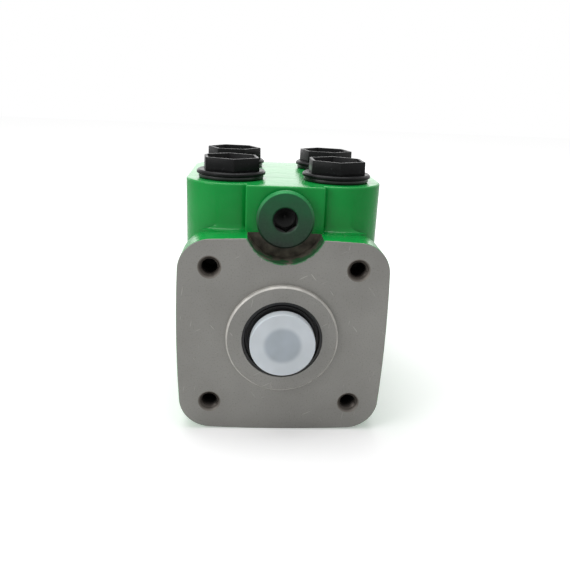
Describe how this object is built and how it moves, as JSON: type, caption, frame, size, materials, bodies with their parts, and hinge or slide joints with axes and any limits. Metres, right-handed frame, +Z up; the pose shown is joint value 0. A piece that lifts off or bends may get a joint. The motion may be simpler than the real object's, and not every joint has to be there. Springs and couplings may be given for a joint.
{
  "type": "orbital steering unit",
  "caption": "Hydraulic orbital steering unit with a square column flange, a cast port block, a rotary valve and a gerotor set behind it.",
  "frame": {"origin": "centre of the mounting flange's face, on the steering axis", "axes": "+X right seen from the column, +Y to the rear along the steering axis, +Z up through the ports"},
  "size_m": [0.12, 0.2251, 0.1558],
  "materials": {
    "cast_iron_painted": "glossy green enamel over cast iron, machined faces bare",
    "steel_painted": "glossy green enamel over turned steel",
    "steel_fastener": "dark phosphated steel with paint overspray",
    "steel_seal_ring": "plain steel",
    "ground_steel": "ground and hardened",
    "nitrile_rubber": "matt",
    "ldpe_cap": "translucent white, satin",
    "black_plastic": "moulded, semi-gloss"
  },
  "bodies": {
    "housing": {"housing": "cast_iron_painted", "relief_plug": "steel_fastener", "cover_bolts": "steel_fastener", "pin_bolt": "steel_fastener", "relief_plug_washer": "steel_seal_ring", "cover_washers": "steel_seal_ring", "relief_shim": "ground_steel", "relief_spring": "ground_steel", "relief_seat": "ground_steel", "check_bushing": "ground_steel", "bearing_outer_race": "ground_steel", "dust_seal": "nitrile_rubber", "shaft_seal": "nitrile_rubber", "shaft_seal_energiser": "nitrile_rubber", "o_ring_housing": "nitrile_rubber", "o_ring_plate": "nitrile_rubber", "o_ring_cover": "nitrile_rubber", "distributor_plate": "steel_painted", "gear_ring": "steel_painted", "end_cover": "steel_painted", "port_plug_front_left": "black_plastic", "port_plug_seal_front_left": "nitrile_rubber", "port_plug_front_right": "black_plastic", "port_plug_seal_front_right": "nitrile_rubber", "port_plug_rear_left": "black_plastic", "port_plug_seal_rear_left": "nitrile_rubber", "port_plug_rear_right": "black_plastic", "port_plug_seal_rear_right": "nitrile_rubber"},
    "sleeve": {"sleeve": "ground_steel", "cross_pin": "ground_steel", "spring_ring": "ground_steel", "bearing_inner_race": "ground_steel", "centring_springs_flat": "ground_steel", "centring_springs_arched": "ground_steel"},
    "spool": {"spool": "ground_steel", "input_cap": "ldpe_cap"},
    "needle_cage": {"needle_cage": "ground_steel", "needle_rollers": "ground_steel"},
    "orbit": {"cardan_spacer": "ground_steel"},
    "rotor": {"gear_rotor": "ground_steel"},
    "cardan": {"cardan_shaft": "ground_steel"},
    "relief_poppet": {"relief_poppet": "ground_steel"},
    "check_ball": {"check_ball": "ground_steel"}
  },
  "joints": [
    {"name": "steering_turn", "type": "hinge", "parent": "housing", "child": "sleeve", "pos_m": [0, 0, 0], "axis": [0, 1, 0], "continuous": true},
    {"name": "spool_turn", "type": "hinge", "parent": "sleeve", "child": "spool", "pos_m": [0, 0, 0], "axis": [0, 1, 0], "range_deg": [-10, 10], "stiffness_Nm_per_rad": 8, "deforming": ["centring_springs_flat", "centring_springs_arched"]},
    {"name": "cage_turn", "type": "hinge", "parent": "housing", "child": "needle_cage", "pos_m": [0, 0, 0], "axis": [0, 1, 0], "continuous": true},
    {"name": "rotor_orbit", "type": "hinge", "parent": "housing", "child": "orbit", "pos_m": [0, 0, 0], "axis": [0, 1, 0], "continuous": true},
    {"name": "rotor_spin", "type": "hinge", "parent": "orbit", "child": "rotor", "pos_m": [0, 0.164, -0.0035], "axis": [0, 1, 0], "continuous": true},
    {"name": "cardan_spin", "type": "hinge", "parent": "orbit", "child": "cardan", "pos_m": [0, 0.092, 0], "axis": [0, 0.9988, -0.0486], "continuous": true},
    {"name": "relief_slide", "type": "slide", "parent": "housing", "child": "relief_poppet", "axis": [0, -1, 0], "range_m": [0, 0.003], "stiffness_N_per_m": 9000, "springref_m": -0.002, "deforming": ["relief_spring"]},
    {"name": "check_ball_lift", "type": "slide", "parent": "housing", "child": "check_ball", "axis": [0, 0, 1], "range_m": [0, 0.002]}
  ],
  "couplings": [
    {"joint": "cage_turn", "follows": "steering_turn", "ratio": 0.5},
    {"joint": "rotor_orbit", "follows": "steering_turn", "ratio": -6},
    {"joint": "rotor_spin", "follows": "steering_turn", "ratio": 7},
    {"joint": "cardan_spin", "follows": "steering_turn", "ratio": 7}
  ]
}
